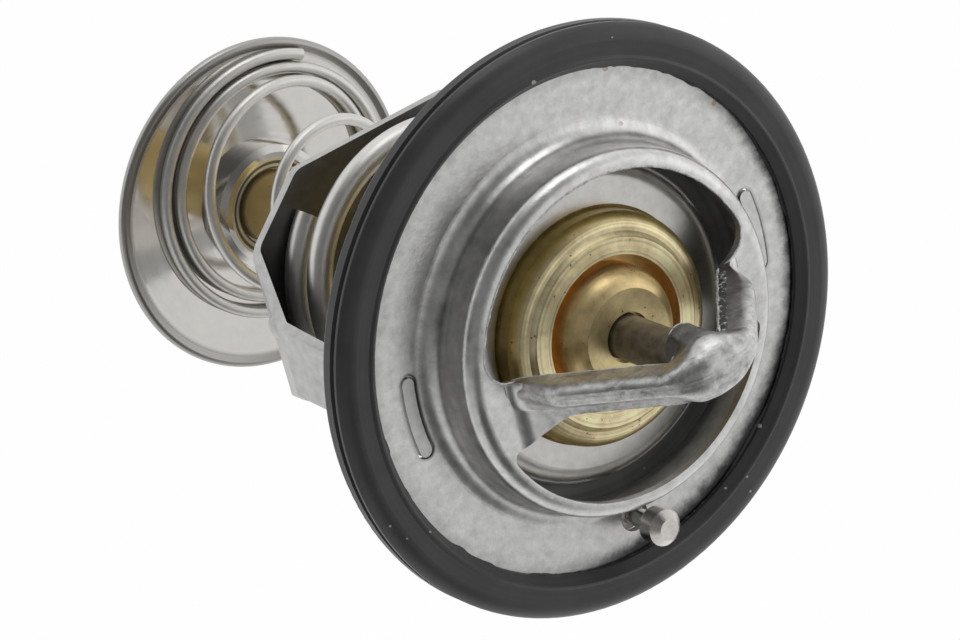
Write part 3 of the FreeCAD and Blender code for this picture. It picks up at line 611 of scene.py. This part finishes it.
def build_floor():
    """A pale floor under the part. The camera sees it as white, with what is left of the part's shadow."""
    half = FLOOR_SIZE / 2
    level = cad_box[0][2] - FLOOR_DROP
    mesh = bpy.data.meshes.new("floor")
    corners = [(-half, -half, level), (half, -half, level), (half, half, level), (-half, half, level)]
    mesh.from_pydata(corners, [], [(0, 1, 2, 3)])
    floor = bpy.data.objects.new("floor", mesh)
    bpy.context.scene.collection.objects.link(floor)
    made = bpy.data.materials.new("floor")
    made.use_nodes = True
    tree = made.node_tree
    shader = tree.nodes["Principled BSDF"]
    put(tree, (0.85, 0.85, 0.85, 1.0), shader.inputs["Base Color"])
    put(tree, 0.8, shader.inputs["Roughness"])
    glow = node(tree, "ShaderNodeEmission", Strength=1.0)
    path = tree.nodes.new("ShaderNodeLightPath")
    seen = math_node(tree, "MAXIMUM", path.outputs["Is Camera Ray"], path.outputs["Is Glossy Ray"])
    mixed = node(tree, "ShaderNodeMixShader", Fac=times(tree, seen, 0.985))
    put(tree, shader.outputs[0], mixed.inputs[1])
    put(tree, glow.outputs[0], mixed.inputs[2])
    put(tree, mixed.outputs[0], tree.nodes["Material Output"].inputs["Surface"])
    mesh.materials.append(made)


def smooth(value, low, high):
    """How far a value is from low to high, as a share of 0..1: three times its square less twice its cube."""
    share = np.clip((value - low) / (high - low), 0.0, 1.0)
    return share * share * (3 - 2 * share)


def wobble(first, second, seed, scale):
    """Smooth noise of about -1..1: a sum of sines of two coordinates with random directions and phases."""
    random = np.random.default_rng(seed)
    total = np.zeros(np.broadcast(first, second).shape)
    for octave in range(5):
        turn, phase = random.uniform(0, 2 * math.pi, 2)
        rate = scale * 1.55 ** octave
        total += np.sin(rate * (first * math.cos(turn) + second * math.sin(turn)) + phase) / 1.5 ** octave
    return total / 2.6


def tiled(direction, count):
    """One direction repeated for every point of a path."""
    return np.tile(direction, (count, 1))


def grid_faces(rows, columns, wrap=False):
    """Quads of a grid of points, row after row. wrap joins the last column to the first."""
    row = np.arange(rows - 1)[:, None]
    column = np.arange(columns if wrap else columns - 1)[None, :]
    after = (column + 1) % columns
    above, below = row * columns, (row + 1) * columns
    corners = [above + column, above + after, below + after, below + column]
    shape = (rows - 1, column.size)
    return np.stack([np.broadcast_to(corner, shape) for corner in corners], axis=-1).reshape(-1, 4)


def frame_piece(name, points, faces, material):
    """A smooth-shaded piece of the frame from numpy points in mm and quads."""
    mesh = bpy.data.meshes.new(name)
    mesh.vertices.add(len(points))
    mesh.vertices.foreach_set("co", np.asarray(points * MM, dtype=np.float32).ravel())
    mesh.loops.add(faces.size)
    mesh.loops.foreach_set("vertex_index", np.asarray(faces, dtype=np.int32).ravel())
    mesh.polygons.add(len(faces))
    mesh.polygons.foreach_set("loop_start", np.arange(0, faces.size, 4, dtype=np.int32))
    mesh.polygons.foreach_set("use_smooth", np.ones(len(faces), dtype=bool))
    mesh.update(calc_edges=True)
    mesh.validate()
    mesh.materials.append(material)
    made = bpy.data.objects.new(name, mesh)
    bpy.context.scene.collection.objects.link(made)
    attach(made, "frame")


def bridge_line(along):
    """Point and outward normal of the bridge's outer face in the XZ plane, and the length to the leg's foot.

    along is the length from the middle of the web: flat web, bend, straight leg, bend into the flat foot.
    """
    turn = math.atan2(WEB_HEIGHT - RIM_HEIGHT, LEG_FOOT - WEB_HALF)
    web = WEB_HALF - WEB_BEND * math.tan(turn / 2)
    leg = (WEB_HEIGHT - RIM_HEIGHT) / math.sin(turn) - (WEB_BEND + FOOT_BEND) * math.tan(turn / 2)
    side = np.sign(along) + (along == 0)
    length = np.abs(along)
    upper = np.clip(length - web, 0, WEB_BEND * turn) / WEB_BEND
    lower = np.clip(length - web - WEB_BEND * turn - leg, 0, FOOT_BEND * turn) / FOOT_BEND
    lean = upper - lower
    on_leg = np.clip(length - web - WEB_BEND * turn, 0, leg)
    beyond = np.clip(length - web - (WEB_BEND + FOOT_BEND) * turn - leg, 0, None)
    x = np.minimum(length, web) + WEB_BEND * np.sin(upper) + on_leg * math.cos(turn)
    x = x + FOOT_BEND * (math.sin(turn) - np.sin(turn - lower)) + beyond
    z = WEB_HEIGHT - WEB_BEND * (1 - np.cos(upper)) - on_leg * math.sin(turn)
    z = z - FOOT_BEND * (np.cos(turn - lower) - math.cos(turn))
    return side * x, z, side * np.sin(lean), np.cos(lean), web + WEB_BEND * turn + leg


def bridge_skin(material):
    """The bridge's rib and its curl round the piston's tip, as one smoothly drawn skin over the stamping.

    Each cross-section runs from the flat brim up an S-curve to the rib's top, over it on a quarter of an
    ellipse and down the front wall. Near the middle the ellipse widens and reaches down in front of the
    piston, and the S-curve turns into the mirrored ellipse. At the feet the height fades to nothing.
    In the names, h is the height over the stamping's outer face. Returns the curl's lower rim.
    """
    half_length, curl_half = 21.6, 5.0
    crest_start, crest_end = -0.1, 0.75
    along = np.linspace(-half_length, half_length, 361)[:, None]
    share = np.linspace(0.0, 1.0, 29)[None, :]
    quarter = share * math.pi / 2
    x, z, out_x, out_z, foot = bridge_line(along)
    curl = np.clip(1 - (along / curl_half) ** 2, 0, 1)
    bulge = curl * curl

    height = RIB_HEIGHT * smooth(foot - np.abs(along), -2.6, 4.4)
    top = height + wobble(along, 0 * along, 3, 0.9) * 0.05 * smooth(height, 0.5, 2.0)
    top = np.minimum(top, RIB_HEIGHT)

    y_rear = -2.1 - 1.35 * bulge
    dip = 1.4 * bulge
    slope_y = y_rear + (crest_start - y_rear) * share
    slope_h = top * smooth(share, 0, 1)
    round_y = crest_start + (y_rear - crest_start) * np.cos(quarter)
    round_h = -dip + (top + dip) * np.sin(quarter)
    blend = smooth(bulge, 0.0, 0.8)
    rear_y = slope_y + (round_y - slope_y) * blend
    rear_h = slope_h + (round_h - slope_h) * blend

    base = np.minimum(1.3 - 1.6 * bulge, top * 0.5)
    y_front = STRAP_FRONT + 0.03 + 1.85 * bulge
    front_y = crest_end + (y_front - crest_end) * np.sin(quarter)
    front_h = base + (top - base) * np.cos(quarter)

    rim = -0.12 - 4.0 * curl ** 1.3 + wobble(along, 0 * along, 8, 5.0) * 0.12
    drop = np.linspace(0.0, 1.0, 13)[None, 1:]
    wall_y = y_front + 0 * drop + 0.15 * bulge * drop
    wall_h = base + (rim - base) * drop

    y = np.concatenate([rear_y, front_y, wall_y], axis=1)
    h = np.concatenate([rear_h, front_h, wall_h], axis=1)
    sink = 0.05 * (1 - smooth(np.minimum(h + 0 * y, 1.0), 0.0, 0.3))
    dent = wobble(along + 0 * y, y, 5, 0.9) * 0.06 * smooth(h, 0.4, 1.2)
    crease = 0.09 * np.exp(-((along - 2.3 - 0.12 * y) / 0.13) ** 2) * smooth(y, -1.2, 0.0) * smooth(h, 0.8, 1.6)
    h = np.minimum(h - sink * (y < 0.5) + dent + crease, np.maximum(RIB_HEIGHT, h))
    outer = np.stack([x + out_x * h, y, z + out_z * h], axis=-1)

    rows, columns = y.shape
    inner_h = h * 0.5 - 0.5
    inner = np.stack([x + out_x * inner_h, 0.45 + (y - 0.45) * 0.8, z + out_z * inner_h], axis=-1)
    on_wall = np.arange(columns) > 2 * share.size + 2
    inner = np.where(on_wall[None, :, None], outer - [0, 0.25, 0], inner)
    ring = np.concatenate([outer, inner[:, ::-1]], axis=1)
    faces = grid_faces(rows, 2 * columns, wrap=True)
    cap = np.arange(columns - 1)
    first = np.stack([cap, cap + 1, 2 * columns - 2 - cap, 2 * columns - 1 - cap], axis=-1)
    last = first[:, ::-1] + (rows - 1) * 2 * columns
    faces = np.concatenate([faces, first, last])
    frame_piece("bridge_skin", ring.reshape(-1, 3), faces, material)
    return outer[np.abs(along[:, 0]) < 4.4, -1]


def burr(name, path, out, up, width, height, material, seed):
    """A ragged sheared edge: a narrow strip of four corners along a path, whose crest rises and leans by noise.

    The crest's height is a quarter of the full one, plus three quarters of it times a slow noise squared, plus
    half of it times sharp teeth. Height and lean fade out towards both ends. out points away from the metal
    and up along its face. Both are per point, as the path is.
    """
    fade = 0.6
    count = len(path)
    run = np.linalg.norm(np.diff(path, axis=0, prepend=path[:1]), axis=1).cumsum()
    rough = 0.5 + 0.5 * wobble(run, 0 * run, seed, 2.2)
    tooth = np.clip(wobble(run, 0 * run, seed + 1, 9.0), 0, 1)
    crest = height * (0.25 + 0.75 * rough * rough + 0.5 * tooth)
    lean = width * (0.4 + 0.6 * np.abs(wobble(run, 0 * run, seed + 2, 4.0)))
    ends = smooth(run, 0, fade) * smooth(-run, -run[-1], fade - run[-1])
    crest = (crest * ends)[:, None]
    lean = (lean * ends)[:, None]
    strip = np.stack([
        path - out * 0.15 - up * 0.05, path - out * 0.12 + up * 0.03,
        path + out * lean + up * crest, path + out * (lean + 0.03) - up * 0.04], axis=1)
    frame_piece(name, strip.reshape(-1, 3), grid_faces(count, 4, wrap=True), material)


def curl_edge(rim, material):
    """Burr along the curl's lower rim."""
    front, down = tiled([0.0, 1.0, 0.0], len(rim)), tiled([0.0, 0.0, -1.0], len(rim))
    burr("curl_burr", rim, front, down, 0.10, 0.16, material, 71)


def window_edges(material):
    """Burr along the front window's sheared edge: the opening's arc with its two rounded corners."""
    middle_y = STRAP_FRONT + WINDOW_FILLET
    middle_x = math.sqrt((OPENING_RADIUS - WINDOW_FILLET) ** 2 - middle_y ** 2)
    start = math.atan2(middle_y, middle_x)
    sweep = np.linspace(start, math.pi - start, 500)
    arc = np.stack([OPENING_RADIUS * np.cos(sweep), OPENING_RADIUS * np.sin(sweep)], axis=-1)
    corner = np.linspace(-math.pi / 2, start, 60)[:-1]
    right = np.stack(
        [middle_x + WINDOW_FILLET * np.cos(corner), middle_y + WINDOW_FILLET * np.sin(corner)], axis=-1)
    left = right[::-1] * [-1, 1]
    flat = np.concatenate([right, arc, left])
    path = np.column_stack([flat, np.full(len(flat), RIM_HEIGHT)])
    tangent = np.gradient(path, axis=0)
    out = np.cross([0.0, 0.0, 1.0], tangent)
    out /= np.linalg.norm(out, axis=1)[:, None]
    burr("window_burr", path, out, tiled([0.0, 0.0, 1.0], len(path)), 0.16, 0.10, material, 21)


def leg_edges(material):
    """Burrs along the sheared front edge of both legs, larger where the punch tore the sheet."""
    count = 420
    legs = (("right_leg_burr", 5.0, 19.5, 0.50, 31), ("left_leg_burr", -20.5, -5.0, 0.12, 41))
    for name, low, high, size, seed in legs:
        x, z, out_x, out_z, _ = bridge_line(np.linspace(low, high, count))
        path = np.stack([x - out_x * SHEET, np.full(count, STRAP_FRONT), z - out_z * SHEET], axis=-1)
        inward = np.stack([-out_x, np.zeros(count), -out_z], axis=-1)
        burr(name, path, inward, tiled([0.0, 1.0, 0.0], count), size * 0.6, size * 0.5, material, seed)


def leg_tear(material):
    """Torn face of the right leg's front edge: a closed ribbon over the sheet's thickness, roughened by noise.

    Across the ribbon its bulge is a half sine wave, and its borders wander most.
    """
    rows, columns = 300, 9
    start, end = 4.6, 19.2
    along = np.linspace(start, end, rows)[:, None]
    depth = np.linspace(0.02, -1.02, columns)[None, :]
    across = np.linspace(0, 1, columns)[None, :]
    x, z, out_x, out_z, _ = bridge_line(along)
    ends = smooth(along, start, 6.0) * smooth(-along, -end, -18.0)
    rough = wobble(along + 0 * depth, depth, 61, 4.0) * 0.5 + 0.5
    reach = -0.05 + (0.07 + 0.16 * rough * np.sin(math.pi * across)) * ends
    ragged = depth + 0.06 * wobble(along + 0 * depth, 0 * depth + 3, 62, 2.0) * np.abs(2 * across - 1)
    front = np.stack([x + out_x * ragged, STRAP_FRONT + reach, z + out_z * ragged], axis=-1)
    back = front * [1, 0, 1] + [0, STRAP_FRONT - 0.12, 0]
    ring = np.concatenate([front, back[:, ::-1]], axis=1)
    faces = grid_faces(rows, 2 * columns, wrap=True)
    frame_piece("right_leg_tear", ring.reshape(-1, 3), faces, material)


def coil(node_name, body, joint, travel, fixed_z, material):
    """A spring's CAD mesh as one welded, smooth-shaded piece, carried by its body.

    The joint, its travel and the fixed end's height are not used.
    """
    mesh = nodes[node_name].data.copy()
    if "custom_normal" in mesh.attributes:
        mesh.attributes.remove(mesh.attributes["custom_normal"])
    welded = bmesh.new()
    welded.from_mesh(mesh)
    bmesh.ops.remove_doubles(welded, verts=welded.verts, dist=WELD)
    welded.to_mesh(mesh)
    welded.free()
    mesh.polygons.foreach_set("use_smooth", np.ones(len(mesh.polygons), dtype=bool))
    mesh.set_sharp_from_angle(angle=SHARP_ANGLE)
    mesh.materials.clear()
    mesh.materials.append(material)
    made = bpy.data.objects.new(node_name + "_coil", mesh)
    bpy.context.scene.collection.objects.link(made)
    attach(made, body)
    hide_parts(node_name)
    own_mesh(made)


def gasket_flash(material):
    """Ragged flash at the gasket's inner border: a thin flat ring whose inner edge wanders by noise.

    It reaches inwards by a small even part, plus a broad and a fine noise where they are positive.
    """
    count = 900
    angle = np.linspace(0, 2 * math.pi, count, endpoint=False)
    ring = np.stack([np.cos(angle), np.sin(angle)], axis=-1)
    x, y = ring[:, 0] * GASKET_INNER, ring[:, 1] * GASKET_INNER
    reach = 0.06 + 0.34 * np.clip(wobble(x, y, 51, 0.55) + 0.1, 0, 1)
    reach += 0.10 * np.clip(wobble(x, y, 52, 3.2), 0, 1)
    inner = GASKET_INNER - reach
    outer = GASKET_INNER + 0.1 + 0 * angle
    corners = ((outer, 0.02), (outer, 0.30), (inner + 0.05, 0.10), (inner, 0.01))
    rows = [np.column_stack([ring * radius[:, None], np.full(count, height)]) for radius, height in corners]
    points = np.stack(rows + rows[:1]).reshape(-1, 3)
    faces = grid_faces(len(corners) + 1, count, wrap=True)[:, ::-1]
    frame_piece("gasket_flash", points, faces, material)


place_camera()
build_world()
build_floor()
for lamp in LAMPS:
    place_lamp(*lamp)

steel, wire, gasket = dress_nodes()
for spring in SPRINGS:
    coil(*spring, wire)
edge = sheared_edge()
curl_edge(bridge_skin(steel), edge)
leg_tear(torn_edge())
window_edges(edge)
leg_edges(edge)
gasket_flash(gasket)

bpy.context.scene.view_settings.view_transform = "Standard"
